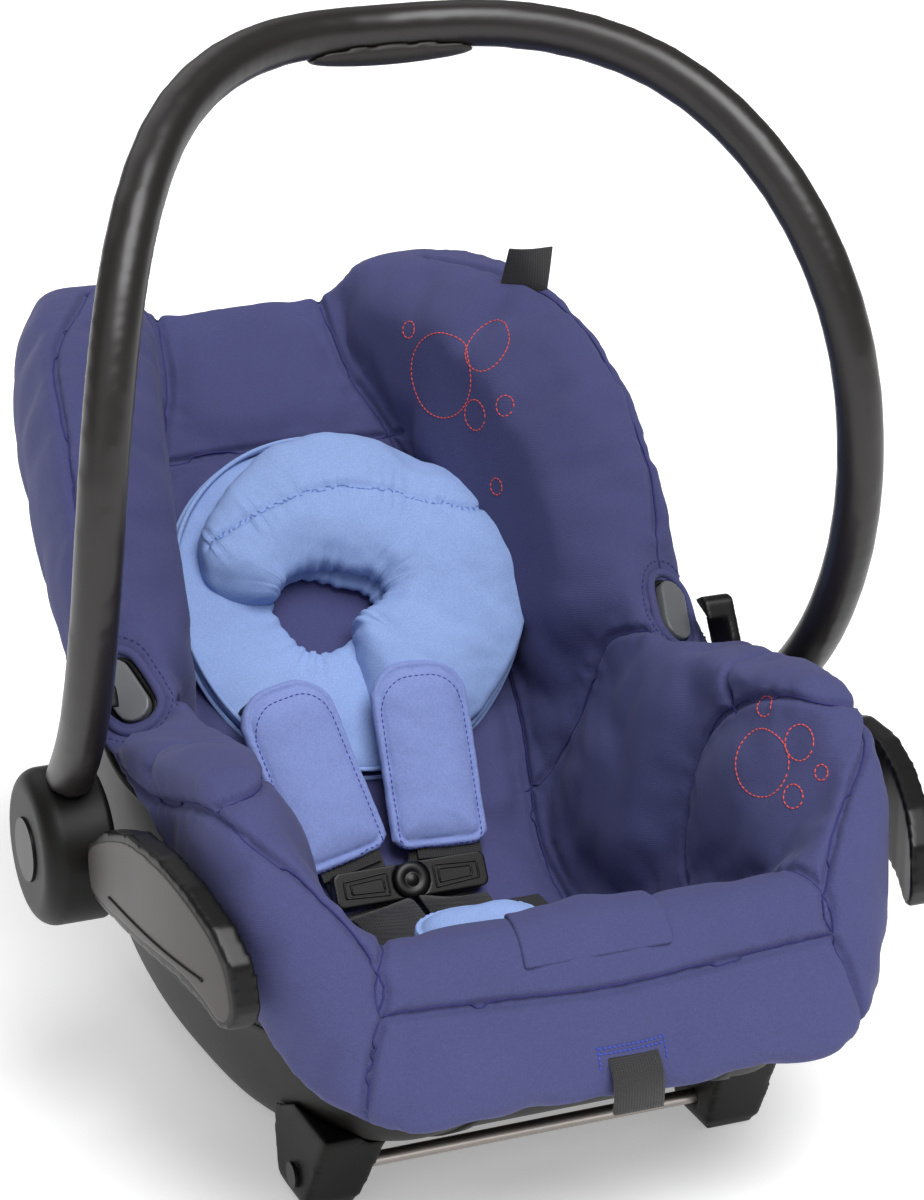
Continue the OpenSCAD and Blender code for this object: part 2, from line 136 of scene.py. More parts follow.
# ---- materials ----
class Nodes:
    """A material under construction: its nodes and the shader's sockets."""

    def __init__(self, name):
        self.material = bpy.data.materials.new(name)
        self.material.use_nodes = True
        self.tree = self.material.node_tree
        self.shader = self.tree.nodes["Principled BSDF"]
        self.place = self.add("ShaderNodeTexCoord").outputs["Object"]

    def add(self, kind, **values):
        node = self.tree.nodes.new(kind)
        for key, value in values.items():
            setattr(node, key, value)
        return node

    def link(self, out, socket):
        self.tree.links.new(out, socket)

    def noise(self, scale, detail=3.0, rough=0.5, stretch=(1, 1, 1)):
        mapping = self.add("ShaderNodeMapping")
        mapping.inputs["Scale"].default_value = stretch
        self.link(self.place, mapping.inputs["Vector"])
        made = self.add("ShaderNodeTexNoise")
        made.inputs["Scale"].default_value = scale
        made.inputs["Detail"].default_value = detail
        made.inputs["Roughness"].default_value = rough
        self.link(mapping.outputs[0], made.inputs["Vector"])
        return made.outputs["Fac"]

    def wave(self, scale, axis, distortion=0.0):
        made = self.add("ShaderNodeTexWave", bands_direction=axis)
        made.inputs["Scale"].default_value = scale
        made.inputs["Distortion"].default_value = distortion
        self.link(self.place, made.inputs["Vector"])
        return made.outputs["Fac"]

    def maths(self, kind, a, b):
        made = self.add("ShaderNodeMath", operation=kind)
        for socket, value in zip(made.inputs, (a, b)):
            if isinstance(value, (int, float)):
                socket.default_value = value
            else:
                self.link(value, socket)
        return made.outputs[0]

    def ramp(self, fac, low, high, start=0.3, end=0.7):
        made = self.add("ShaderNodeValToRGB")
        made.color_ramp.elements[0].position = start
        made.color_ramp.elements[1].position = end
        made.color_ramp.elements[0].color = (*low, 1)
        made.color_ramp.elements[1].color = (*high, 1)
        self.link(fac, made.inputs["Fac"])
        return made.outputs["Color"]

    def span(self, fac, low, high):
        made = self.add("ShaderNodeMapRange")
        made.inputs["To Min"].default_value = low
        made.inputs["To Max"].default_value = high
        self.link(fac, made.inputs["Value"])
        return made.outputs["Result"]

    def paint(self, colour, roughness):
        self.link(colour, self.shader.inputs["Base Color"])
        self.link(roughness, self.shader.inputs["Roughness"])

    def shade(self, values):
        """Sets the shader's own sockets to what is the same all over."""
        for socket, value in values.items():
            self.shader.inputs[socket].default_value = value

    def bump(self, heights):
        """heights: (height socket, strength, distance in metres) from coarse to fine."""
        before = None
        for height, strength, distance in heights:
            made = self.add("ShaderNodeBump")
            made.inputs["Strength"].default_value = strength
            made.inputs["Distance"].default_value = distance
            self.link(height, made.inputs["Height"])
            if before is not None:
                self.link(before, made.inputs["Normal"])
            before = made.outputs["Normal"]
        self.link(before, self.shader.inputs["Normal"])


def scaled(colour, share):
    return tuple(c * share for c in colour)


def knit(name, colour, sheen=0.35, thread=0.0011):
    """Padded woven fabric: two-tone yarn, fine weave, soft sheen."""
    m = Nodes(name)
    yarn = m.noise(1 / thread, 2, 0.6)
    patches = m.noise(14, 3, 0.55)
    weave = m.maths("MULTIPLY", m.wave(0.5 / thread, "DIAGONAL", 0.6), m.noise(0.7 / thread, 1))
    tone = m.maths("ADD", m.maths("MULTIPLY", yarn, 0.75), m.maths("MULTIPLY", patches, 0.25))
    m.paint(m.ramp(tone, scaled(colour, 0.9), scaled(colour, 1.1), 0.36, 0.64), m.span(yarn, 0.8, 0.96))
    m.bump([(patches, 0.2, 0.001), (weave, 0.4, 0.00025), (yarn, 0.2, 0.0002)])
    m.shade({
        "Specular IOR Level": 0.25, "Sheen Weight": sheen, "Sheen Roughness": 0.45,
        "Sheen Tint": (*[min(1, 0.45 + c) for c in colour], 1),
    })
    return m.material


def plastic(name, colour, rough=(0.38, 0.5), grain=0.0007, relief=0.00006, shine=0.4):
    """Moulded plastic: fine spark-eroded grain, faint cloudiness and handling marks."""
    m = Nodes(name)
    fine = m.noise(1 / grain, 2, 0.6)
    cloud = m.noise(9, 4, 0.6)
    marks = m.noise(60, 3, 0.7, (1, 1, 0.15))
    blend = m.maths("ADD", m.maths("MULTIPLY", cloud, 0.6), m.maths("MULTIPLY", marks, 0.4))
    m.paint(m.ramp(cloud, scaled(colour, 0.88), scaled(colour, 1.14)), m.span(blend, *rough))
    m.bump([(marks, 0.08, 0.0002), (fine, 0.35, relief)])
    m.shade({"Specular IOR Level": shine})
    return m.material


def metal(name, colour):
    """Metal with fine marks drawn out across x."""
    m = Nodes(name)
    brushed = m.noise(40, 4, 0.7, (1, 60, 60))
    m.paint(m.ramp(brushed, scaled(colour, 0.85), colour), m.span(brushed, 0.22, 0.4))
    m.bump([(brushed, 0.12, 0.0001)])
    m.shade({"Metallic": 1.0})
    return m.material


def ribbed(name, colour):
    """Harness webbing: fine ribs across the belt and a tight twill."""
    m, rib = Nodes(name), 0.0024
    across = m.wave(0.5 / rib, "X")
    along = m.wave(0.9 / rib, "Z")
    yarn = m.noise(1400, 2)
    both = m.maths("MAXIMUM", across, along)
    m.paint(m.ramp(both, scaled(colour, 0.55), scaled(colour, 1.7), 0.2, 0.9), m.span(yarn, 0.55, 0.8))
    m.bump([(both, 0.6, 0.0005), (yarn, 0.3, 0.0002)])
    m.shade({"Sheen Weight": 0.15})
    return m.material


LOOKS = {
    "cover_fabric": knit("cover_fabric", (0.060, 0.064, 0.168), 0.12),
    "pillow_fabric": knit("pillow_fabric", (0.26, 0.37, 0.67), 0.1, 0.0009),
    "pad_fabric": knit("pad_fabric", (0.21, 0.27, 0.56), 0.12),
    "foam": knit("foam", (0.7, 0.7, 0.72), 0.1),
    "webbing": ribbed("webbing", (0.010, 0.010, 0.011)),
    "shell_plastic": plastic("shell_plastic", (0.006, 0.0052, 0.0046), (0.4, 0.52), shine=0.14),
    "handle_plastic": plastic("handle_plastic", (0.012, 0.0095, 0.009), (0.30, 0.42), shine=0.5),
    "grip_rubber": plastic("grip_rubber", (0.016, 0.014, 0.013), (0.45, 0.55), 0.0012, 0.0001),
    "guide_plastic": plastic("guide_plastic", (0.055, 0.048, 0.045), (0.3, 0.42), shine=0.3),
    "trim_plastic": plastic("trim_plastic", (0.004, 0.004, 0.004), (0.3, 0.42), shine=0.3),
    "button_plastic": plastic("button_plastic", (0.13, 0.135, 0.145), (0.3, 0.42)),
    "red_plastic": plastic("red_plastic", (0.42, 0.02, 0.015), (0.2, 0.3)),
    "rod_steel": metal("rod_steel", (0.62, 0.56, 0.52)),
    "spring_steel": metal("spring_steel", (0.55, 0.55, 0.57)),
}
HUB_PLASTIC = plastic("hub_plastic", (0.004, 0.0035, 0.003), (0.42, 0.52), shine=0.22)
CORAL = knit("coral_thread", (0.72, 0.10, 0.085), 0.1, 0.0006)
# Darker than the cover cloth: the stitches round the button cut-outs, and painted shade laid as a thread along the
# cover's seam creases.
SEAM_SHADE_AND_THREAD = knit("seam_shade_and_thread", (0.035, 0.035, 0.15), 0.1, 0.0006)
PILLOW_THREAD = knit("pillow_thread", (0.12, 0.22, 0.58), 0.1, 0.0006)
PAD_THREAD = knit("pad_thread", (0.06, 0.07, 0.33), 0.1, 0.0006)
BLUE_THREAD = knit("blue_thread", (0.05, 0.08, 0.42), 0.2, 0.0006)


# ---- curves ----
def smooth_line(points, step=0.003, closed=False):
    """Points at an even step along a Catmull-Rom curve through the given ones."""
    p = [Vector(q) for q in points]
    ring = [p[-1], *p, p[0], p[1]] if closed else [2 * p[0] - p[1], *p, 2 * p[-1] - p[-2]]
    fine = []
    for a, b, c, d in zip(ring, ring[1:], ring[2:], ring[3:]):
        for k in range(24):
            t = k / 24
            fine.append(0.5 * (
                2 * b + (c - a) * t + (2 * a - 5 * b + 4 * c - d) * t * t
                + (3 * b - 3 * c + d - a) * t * t * t
            ))
    fine.append(p[0].copy() if closed else p[-1].copy())
    return even(fine, step)


def even(points, step):
    """The same line again, with its points at an even step."""
    gaps = [(b - a).length for a, b in zip(points, points[1:])]
    count = max(2, round(sum(gaps) / step) + 1)
    lengths = np.concatenate([[0], np.cumsum(gaps)])
    wanted = np.linspace(0, lengths[-1], count)
    array = np.array(points)
    return [Vector(v) for v in np.stack([np.interp(wanted, lengths, array[:, k]) for k in range(3)], 1)]


def b_spline(points, count):
    """count rows along the clamped cubic B-spline of a table of control rows."""
    rows = np.array(points, float)
    q = np.concatenate([[rows[0]] * 2, rows, [rows[-1]] * 2])
    spans = len(q) - 3
    made = []
    for u in np.linspace(0, 1, count) * spans:
        i = min(int(u), spans - 1)
        f = u - i
        g = 1 - f
        made.append((
            q[i] * g**3 + q[i + 1] * (3 * f**3 - 6 * f * f + 4)
            + q[i + 2] * (3 * g**3 - 6 * g * g + 4) + q[i + 3] * f**3
        ) / 6)
    return np.array(made)


# ---- meshes ----
def new_piece(name, verts, faces, look, smooth=True):
    mesh = bpy.data.meshes.new(name)
    mesh.from_pydata([tuple(v) for v in verts], [], faces)
    mesh.validate()
    if smooth:
        mesh.polygons.foreach_set("use_smooth", [True] * len(mesh.polygons))
    mesh.materials.append(LOOKS[look] if isinstance(look, str) else look)
    return added(name, mesh)


def grid_faces(rows, width):
    """Faces of a sheet whose vertices come in rows of one width."""
    return [
        (i * width + k, i * width + k + 1, (i + 1) * width + k + 1, (i + 1) * width + k)
        for i in range(rows - 1) for k in range(width - 1)
    ]


def tube_faces(rows, around, closed=False, capped=True):
    """Faces of a tube whose vertices come in rings. A closed one is joined end to end."""
    faces = []
    for i in range(rows if closed else rows - 1):
        j = (i + 1) % rows
        for k in range(around):
            n = (k + 1) % around
            faces.append((i * around + k, i * around + n, j * around + n, j * around + k))
    if capped and not closed:
        faces += [tuple(reversed(range(around))), tuple((rows - 1) * around + k for k in range(around))]
    return faces


def baked(piece):
    """Applies the piece's modifiers."""
    graph = bpy.context.evaluated_depsgraph_get()
    bpy.context.view_layer.update()
    mesh = bpy.data.meshes.new_from_object(piece.evaluated_get(graph))
    piece.modifiers.clear()
    old = piece.data
    piece.data = mesh
    mesh.polygons.foreach_set("use_smooth", [True] * len(mesh.polygons))
    bpy.data.meshes.remove(old)
    return piece


def modifier(piece, kind, **values):
    made = piece.modifiers.new(kind.lower(), kind)
    for key, value in values.items():
        setattr(made, key, value)
    return made


def outward(piece):
    """Turns all of its faces outwards."""
    work = bmesh.new()
    work.from_mesh(piece.data)
    bmesh.ops.recalc_face_normals(work, faces=work.faces)
    work.to_mesh(piece.data)
    work.free()
    return piece


def remeshed(name, node, voxel, look, rounds=6):
    """A new, evenly meshed and softened copy of a CAD node."""
    piece = added(name, frame["nodes"][node].data.copy())
    piece.data.materials.clear()
    piece.data.materials.append(LOOKS[look])
    modifier(piece, "REMESH", mode="VOXEL", voxel_size=voxel)
    modifier(piece, "SMOOTH", factor=0.5, iterations=rounds)
    baked(piece)
    if not piece.data.materials:
        piece.data.materials.append(LOOKS[look])
    return piece


def coords(piece):
    co = np.empty(len(piece.data.vertices) * 3)
    piece.data.vertices.foreach_get("co", co)
    return co.reshape(-1, 3)


def normals(piece):
    no = np.empty(len(piece.data.vertices) * 3)
    piece.data.vertex_normals.foreach_get("vector", no)
    return no.reshape(-1, 3)


def put(piece, co):
    piece.data.vertices.foreach_set("co", np.asarray(co, float).ravel())
    piece.data.update()


def tree_of(piece):
    return BVHTree.FromPolygons(coords(piece).tolist(), [tuple(p.vertices) for p in piece.data.polygons])


def struck(tree, rays):
    """Where rays, each a start and a way, meet a surface. One that misses is left out."""
    hits = [tree.ray_cast(start, way)[0] for start, way in rays]
    return [h for h in hits if h is not None]


def kd_of(points):
    kd = KDTree(len(points))
    for i, p in enumerate(points):
        kd.insert(p, i)
    kd.balance()
    return kd


def distances(co, points, reach):
    """Each vertex's distance to the nearest of the points, and that point's number."""
    kd = kd_of(points)
    found = [kd.find(c) for c in co]
    d = np.array([f[2] for f in found])
    return np.minimum(d, reach), np.array([f[1] for f in found])


def joined(name, pieces):
    """One mesh out of several."""
    work = bmesh.new()
    for p in pieces:
        work.from_mesh(p.data)
    mesh = bpy.data.meshes.new(name)
    work.to_mesh(mesh)
    work.free()
    mesh.materials.append(pieces[0].data.materials[0])
    for p in pieces:
        bpy.data.objects.remove(p)
    return added(name, mesh)


def frames_along(line, up):
    """For each point of a line: its two cross directions."""
    made = []
    for i, p in enumerate(line):
        way = (line[min(i + 1, len(line) - 1)] - line[max(i - 1, 0)]).normalized()
        side = way.cross(up[i] if isinstance(up, list) else up)
        side = side.normalized() if side.length > 1e-9 else way.orthogonal().normalized()
        made.append((side, side.cross(way).normalized()))
    return made


def swept(name, line, outline, look, up=Vector((0, 0, 1)), size=None, closed=False):
    """A solid swept along a line. outline: (side, up) offsets; size(share) scales them."""
    verts, last = [], len(line) - 1
    for i, (p, (side, top)) in enumerate(zip(line, frames_along(line, up))):
        k = size(i / last) if size else 1
        verts += [p + side * (a * k) + top * (b * k) for a, b in outline]
    return outward(new_piece(name, verts, tube_faces(len(line), len(outline), closed), look))


def circle(radius, sides):
    turns = [2 * math.pi * k / sides for k in range(sides)]
    return [(radius * math.cos(t), radius * math.sin(t)) for t in turns]


def oblong(half_wide, half_tall):
    return [(-half_wide, -half_tall), (half_wide, -half_tall), (half_wide, half_tall), (-half_wide, half_tall)]


def round_ends(reach):
    """Scales a sweep down to a dome over the given share at both ends."""
    def size(share):
        edge = min(share, 1 - share) / reach
        return max(0.06, math.sqrt(max(0.0, 1 - (1 - min(edge, 1)) ** 2)))
    return size


def stitches(name, lines, look, length=0.0026, gap=0.0014, radius=0.00042, lift=0.0002, tree=None):
    """Rows of thread stitches along lines, laid on a surface where a tree is given."""
    parts_v, parts_f = [], []
    for line in lines:
        for a, b in stitch_spans(line, length, gap):
            ends = [a, a.lerp(b, 0.5), b]
            ups = [Vector((0, 0, 1))] * 3
            if tree is not None:
                hits = [tree.find_nearest(p) for p in ends]
                ends = [h[0] + h[1] * lift for h in hits]
                ups = [h[1] for h in hits]
            base = len(parts_v)
            for i, (p, k) in enumerate(zip(ends, (0.35, 1.0, 0.35))):
                way = (ends[2] - ends[0]).normalized()
                side = way.cross(ups[i]).normalized()
                for s, t in circle(radius * k, 5):
                    parts_v.append(p + side * s + ups[i] * t)
            for r in range(2):
                ring = base + r * 5
                for k in range(5):
                    n = (k + 1) % 5
                    parts_f.append((ring + k, ring + n, ring + 5 + n, ring + 5 + k))
            parts_f.append(tuple(base + k for k in (4, 3, 2, 1, 0)))
            parts_f.append(tuple(base + 10 + k for k in range(5)))
    return new_piece(name, parts_v, parts_f, look)


def stitch_spans(line, length, gap):
    fine = even(line, 0.0005)
    run, pause = max(2, round(length / 0.0005)), max(1, round(gap / 0.0005))
    return [(fine[i], fine[i + run]) for i in range(0, len(fine) - run, run + pause)]


def refined_near(piece, points, reach):
    """Splits the faces near a set of points into four."""
    kd = kd_of(points)
    work = bmesh.new()
    work.from_mesh(piece.data)
    near = [f for f in work.faces if kd.find(f.calc_center_median())[2] < reach]
    edges = list({e for f in near for e in f.edges})
    bmesh.ops.subdivide_edges(work, edges=edges, cuts=1, use_grid_fill=True, smooth=0.0)
    work.to_mesh(piece.data)
    work.free()
    piece.data.polygons.foreach_set("use_smooth", [True] * len(piece.data.polygons))


def sewn(piece, lines, width=0.0032, depth=0.0026, swell=0.0, wide=0.03, pucker=0.0, pitch=0.011):
    """Presses seams into a padded surface. The pad swells beside them and puckers across them."""
    points = [p for line in lines for p in line]
    arc = np.concatenate([np.arange(len(line)) * 0.0015 for line in lines])
    co, no = coords(piece), normals(piece)
    d, k = distances(co, points, 3 * wide)
    phase = 2 * math.pi * arc[k] / pitch
    ripple = np.sin(phase + 1.7 * np.sin(phase * 0.23)) * (0.6 + 0.4 * np.sin(phase * 0.31 + 1))
    move = -depth * np.exp(-((d / width) ** 2))
    move += swell * (1 - np.exp(-((d / wide) ** 2)))
    move += pucker * ripple * np.exp(-((d - 1.6 * width) / (4.0 * width)) ** 2) * (d > 0.4 * width)
    put(piece, co + no * move[:, None])


def wrinkled(piece, height, scale, seed):
    """Soft dents and folds over a fabric surface."""
    co, no = coords(piece), normals(piece)
    offset = Vector((seed * 3.1, seed * 1.7, seed * 0.9))
    waves = np.array([noise.fractal(Vector(c) * scale + offset, 0.7, 2.1, 3) for c in co])
    put(piece, co + no * (waves * height)[:, None])


def inflated(piece, pressure, cap, pinned=None, frames=20, slack=0.0):
    """Blows a padded piece up as cloth, its seams held, and keeps each point within cap."""
    rest = coords(piece)
    cloth = modifier(piece, "CLOTH")
    settings = cloth.settings
    settings.use_pressure = True
    settings.uniform_pressure_force = pressure
    settings.effector_weights.gravity = 0
    settings.quality = 4
    settings.mass = 0.3
    settings.tension_stiffness = settings.compression_stiffness = 12
    settings.shear_stiffness = 4
    settings.bending_stiffness = 0.4
    settings.shrink_min = -slack
    cloth.collision_settings.use_collision = False
    if pinned is not None and len(pinned):
        group = piece.vertex_groups.new(name="held")
        group.add([int(i) for i in pinned], 1.0, "REPLACE")
        settings.vertex_group_mass = "held"
    cloth.point_cache.frame_start, cloth.point_cache.frame_end = 1, frames
    scene = bpy.context.scene
    for f in range(1, frames + 1):
        scene.frame_set(f)
    baked(piece)
    scene.frame_set(1)
    moved = coords(piece) - rest
    size = np.linalg.norm(moved, axis=1)
    share = np.minimum(1, cap / np.maximum(size, 1e-9))
    put(piece, rest + moved * share[:, None])
    piece.vertex_groups.clear()


def softened(piece, rounds):
    modifier(piece, "SMOOTH", factor=0.5, iterations=rounds)
    return baked(piece)


# ---- shell ----
# Sections of the shell, foot end to head end, as in the part:
# bottom y, bottom z, rim y, rim z, half width at the bottom, half width at the rim, keel height
SHELL = [
    [-232, 98, -226, 138, 78, 112, 0],
    [-222, 78, -215, 150, 92, 132, 0],
    [-190, 58, -185, 176, 104, 150, 2],
    [-135, 37, -132, 198, 111, 164, 6],
    [-50, 4, -60, 196, 115, 172, 26],
    [40, -3, 0, 194, 117, 176, 34],
    [135, -3, 38, 200, 118, 175, 34],
    [210, 30, 70, 232, 118, 171, 28],
    [250, 104, 100, 285, 117, 166, 14],
    [285, 192, 135, 325, 115, 160, 6],
    [314, 268, 185, 348, 110, 150, 0],
    [330, 322, 240, 362, 100, 136, 0],
]
SHELL_WALL = 3.5


def shell_section(s, steps):
    """One section from rim to rim, as points."""
    bottom, rim = np.array([s[0], s[1]]), np.array([s[2], s[3]])
    up = (rim - bottom) / np.linalg.norm(rim - bottom)
    tall = np.linalg.norm(rim - bottom)
    wide_low, wide_high, keel = s[4], s[5], s[6] / tall
    half = b_spline([
        [0, keel], [wide_low * 0.5, keel], [wide_low * 0.76, keel * 0.9], [wide_low * 0.86, 0],
        [wide_low * 1.04, 0], [wide_low + (wide_high - wide_low) * 0.42, 0.22],
        [wide_low + (wide_high - wide_low) * 0.86, 0.62], [wide_high, 1],
    ], steps)
    both = [(-x, v) for x, v in half[::-1]] + [(x, v) for x, v in half[1:]]
    return [at(x, *(bottom + up * tall * v)) for x, v in both]


def make_shell():
    rows = [shell_section(s, 40) for s in b_spline(SHELL, 110)]
    width = len(rows[0])
    verts = [Vector((p.x, p.y, max(p.z, 0.0))) for row in rows for p in row]
    faces = grid_faces(len(rows), width)
    foot_end = len(verts)
    verts.append((verts[0] + verts[width - 1]) / 2)
    faces += [(k + 1, k, foot_end) for k in range(width - 1)]
    shell = outward(new_piece("shell_body", verts, faces, "shell_plastic"))
    modifier(shell, "SOLIDIFY", thickness=SHELL_WALL * MM, offset=-1)
    baked(shell)
    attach(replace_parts(shell, "shell"), "seat")
    rims = []
    for side in SIDES.values():
        edge = [rows[i][-1 if side > 0 else 0] for i in range(4, len(rows) - 3)]
        bead = circle(0.0032, 12)
        rims.append(swept("rim", even(edge, 0.006), bead, "shell_plastic", size=round_ends(0.01)))
    rim = joined("shell_rim_bead", rims)
    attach(rim, "seat")
    return shell, rows


def shell_ribs(shell, rows):
    """Raised bands round the outside of the shell, as its moulding has."""
    tree, bands = tree_of(shell), []
    section = [(-0.004, -0.001), (-0.003, 0.0012), (0.003, 0.0012), (0.004, -0.001)]
    for share in (0.36, 0.72):
        for side in SIDES.values():
            line = []
            for row in rows[14:-12:2]:
                k = round(share * (len(row) // 2))
                p = row[len(row) // 2 + side * k]
                line.append(Vector((p.x, p.y, max(p.z, 0.004))))
            snapped = [tree.find_nearest(p) for p in smooth_line(line[::4], 0.006)]
            bands.append(swept(
                "band", [h[0] for h in snapped], section, "shell_plastic", up=[h[1] for h in snapped],
                size=round_ends(0.03),
            ))
    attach(joined("shell_bands", bands), "seat")


# ---- cover ----
# Seams of the cover on the child's left: x, y, z. The right side mirrors them.
BOLSTER_EDGE = [
    (121, -233, 153), (120, -226, 175), (141, -202, 208), (165, -181, 228), (179, -139, 234),
    (183, -61, 209), (184, 5, 206),
]
HEM_DROP = [(121, -233, 153), (130, -238, 134), (136, -240, 104)]
BOLSTER_FACE = [
    (176, -150, 238), (160, -154, 248), (143, -142, 248), (133, -113, 237), (130, -90, 222), (128, -75, 208),
    (124, -65, 183), (119, -66, 156), (113, -73, 131), (106, -90, 117),
]
BOLSTER_TOP = [(128, -92, 222), (132, -78, 233), (156, -66, 238), (181, -58, 222)]
FRONT_TOP = [
    (86, -9, 64), (100, -22, 78), (105, -54, 97), (106, -106, 123), (104, -143, 146), (106, -190, 176),
    (122, -222, 172), (121, -233, 153),
]
WING_LOW = [(140, 20, 228), (127, 55, 211), (119, 66, 170), (111, 74, 143), (97, 84, 117), (93, 86, 112)]
BACK_SIDE = [
    (52, 318, 352), (55, 282, 320), (66, 262, 298), (80, 230, 262), (92, 190, 222), (100, 150, 185),
    (98, 111, 146), (94, 88, 114), (90, 61, 85), (92, 23, 67), (90, -30, 66), (88, -80, 72), (86, -140, 100),
]
WING_EDGE = [
    (104, 278, 386), (126, 232, 389), (155, 180, 376), (163, 145, 360), (172, 110, 333), (170, 85, 299),
    (164, 66, 266), (172, 40, 240),
]
FRONT_SEAM = [(-121, -233, 153), (-72, -234, 151), (0, -235, 147), (72, -234, 151), (121, -233, 153)]
BACK_ACROSS = [(-92, 0), (-60, 4), (0, 6), (60, 4), (92, 0)]
BACK_ACROSS_S = 104
# The opening round a release button
PILL_WIDE, PILL_LONG = 26, 47


def mirrored(line, side):
    return [(side * x, y, z) for x, y, z in line]


def cover_seams(tree):
    """All the seams of the cover, laid on its surface."""
    lines = {"front": [at(*p) for p in FRONT_SEAM]}
    lines["across"] = [on_back(x, BACK_ACROSS_S + d, 0) for x, d in BACK_ACROSS]
    for word, side in SIDES.items():
        for name, points in (
            ("edge", BOLSTER_EDGE), ("drop", HEM_DROP), ("face", BOLSTER_FACE), ("top", BOLSTER_TOP),
            ("front_top", FRONT_TOP), ("wing_low", WING_LOW), ("back", BACK_SIDE), ("wing", WING_EDGE),
        ):
            lines[name + "_" + word] = [at(*p) for p in mirrored(points, side)]
    laid = {}
    for name, line in lines.items():
        points = smooth_line(line, 0.0015)
        for _ in range(2):
            points = [tree.find_nearest(p)[0] for p in points]
            points = relaxed(points, 12)
        laid[name] = [tree.find_nearest(p)[0] for p in points]
    return laid


def relaxed(points, rounds):
    """The line with its small kinks ironed out, its ends where they were."""
    line = np.array(points)
    for _ in range(rounds):
        line[1:-1] = (line[:-2] + 2 * line[1:-1] + line[2:]) / 4
    return [Vector(p) for p in line]


def release_frame(side):
    """The release button's place: centre, across, along and out of the cover."""
    turn = (
        Matrix.Rotation(math.radians(40), 3, "Z") @ Matrix.Rotation(math.radians(48), 3, "X")
        @ Matrix.Rotation(math.radians(-45), 3, "Z")
    )
    flip = Vector((side, 1, 1))
    across, along, out = (Vector(turn.col[k]) * flip for k in range(3))
    return at(161 * side, 44, 226), across, along, out


def pill_line(side, wide, long, out):
    """A closed line round a button: two half circles joined by straights."""
    centre, across, along, normal = release_frame(side)
    r, straight = wide / 2, (long - wide) / 2
    points = []
    for k in range(48):
        t = 2 * math.pi * k / 48
        shift = straight if math.sin(t) > 0 else -straight
        beside, ahead = across * r * math.cos(t), along * (r * math.sin(t) + shift)
        points.append(centre + (beside + ahead + normal * out) * MM)
    return points


def make_cover():
    cover = remeshed("cover", "seat_cover", 0.005, "cover_fabric", 24)
    base = tree_of(cover)
    seams = cover_seams(base)
    points = [p for line in seams.values() for p in line]
    co = coords(cover)
    backing = tree_of(frame["nodes"]["shell"])
    foam = tree_of(frame["nodes"]["foam_liner"])
    held = set(np.nonzero(distances(co, points, 0.02)[0] < 0.006)[0])
    for i, c in enumerate(co):
        for tree in (backing, foam):
            hit = tree.find_nearest(c, 0.006)
            if hit[0] is not None:
                held.add(i)
    for side in SIDES.values():
        ring = pill_line(side, PILL_WIDE, PILL_LONG, 4)
        held |= set(np.nonzero(distances(co, ring, 0.03)[0] < 0.012)[0])
    # The seat and the back stay flat under the harness, the sides behind the guides too
    room = np.interp(np.abs(co[:, 0]), [0.055, 0.095, 0.150, 0.172], [0.005, 0.015, 0.015, 0.006])
    inflated(cover, 6.0, room, sorted(held), 20, slack=0.04)
    dished(cover)
    softened(cover, 6)
    wrinkled(cover, 0.0016, 9, 3)
    refined_near(cover, points, 0.012)
    refined_near(cover, points, 0.006)
    softened(cover, 1)
    sewn(cover, list(seams.values()), 0.0026, 0.0042, 0.0012, 0.020, 0.0005, 0.017)
    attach(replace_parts(cover, "seat_cover"), "seat")
    # A thread darker than the cloth goes along the bottom of every seam: painted shade in the seam creases.
    tree, seam_shade_lines = tree_of(cover), []
    for line in seams.values():
        laid = smooth_line(relaxed([tree.find_nearest(p)[0] for p in line[::3]], 8), 0.003)
        laid = [tree.find_nearest(p)[0] for p in laid]
        seam_shade_lines.append(swept("thread", laid, circle(0.0006, 6), SEAM_SHADE_AND_THREAD, size=round_ends(0.01)))
    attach(joined("cover_seam_shade_lines", seam_shade_lines), "seat")
    return cover


def dished(cover):
    """Lays the cover flat round the release buttons, a little below their tops."""
    co = coords(cover)
    for side in SIDES.values():
        centre, across, along, out = (np.array(v) for v in release_frame(side))
        local = co - centre
        a, b, h = local @ across, local @ along, local @ out
        straight = (PILL_LONG - PILL_WIDE) / 2 * MM
        beside = np.hypot(a, np.maximum(np.abs(b) - straight, 0)) - PILL_WIDE / 2 * MM
        level = 0.0025 + 0.45 * np.maximum(beside - 0.004, 0)
        share = np.clip(1.3 - beside / 0.022, 0, 1)
        drop = np.where((h > level) & (h < 0.04), (h - level) * share * share * (3 - 2 * share), 0)
        co -= drop[:, None] * out
    put(cover, co)


def bound_cutouts(cover):
    """Bound edges and a row of stitches round the two release buttons."""
    tree = tree_of(cover)
    for word, side in SIDES.items():
        normal = release_frame(side)[3]
        rings = []
        for extra in (3.0, 9.5):
            laid = []
            for p in pill_line(side, PILL_WIDE + 2 * extra, PILL_LONG + 2 * extra, 60):
                hit = tree.ray_cast(p, -normal)
                laid.append((hit[0] if hit[0] is not None else p - normal * 0.06))
            laid = relaxed(laid + laid[:1], 4)[:-1]
            rings.append(smooth_line(laid, 0.002, closed=True)[:-1])
        section = circle(0.0026, 12)
        binding = swept("cutout_binding_" + word, rings[0], section, "cover_fabric", up=normal, closed=True)
        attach(binding, "seat")
        row = stitches("cutout_stitching_" + word, [rings[1]], SEAM_SHADE_AND_THREAD, tree=tree)
        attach(row, "seat")


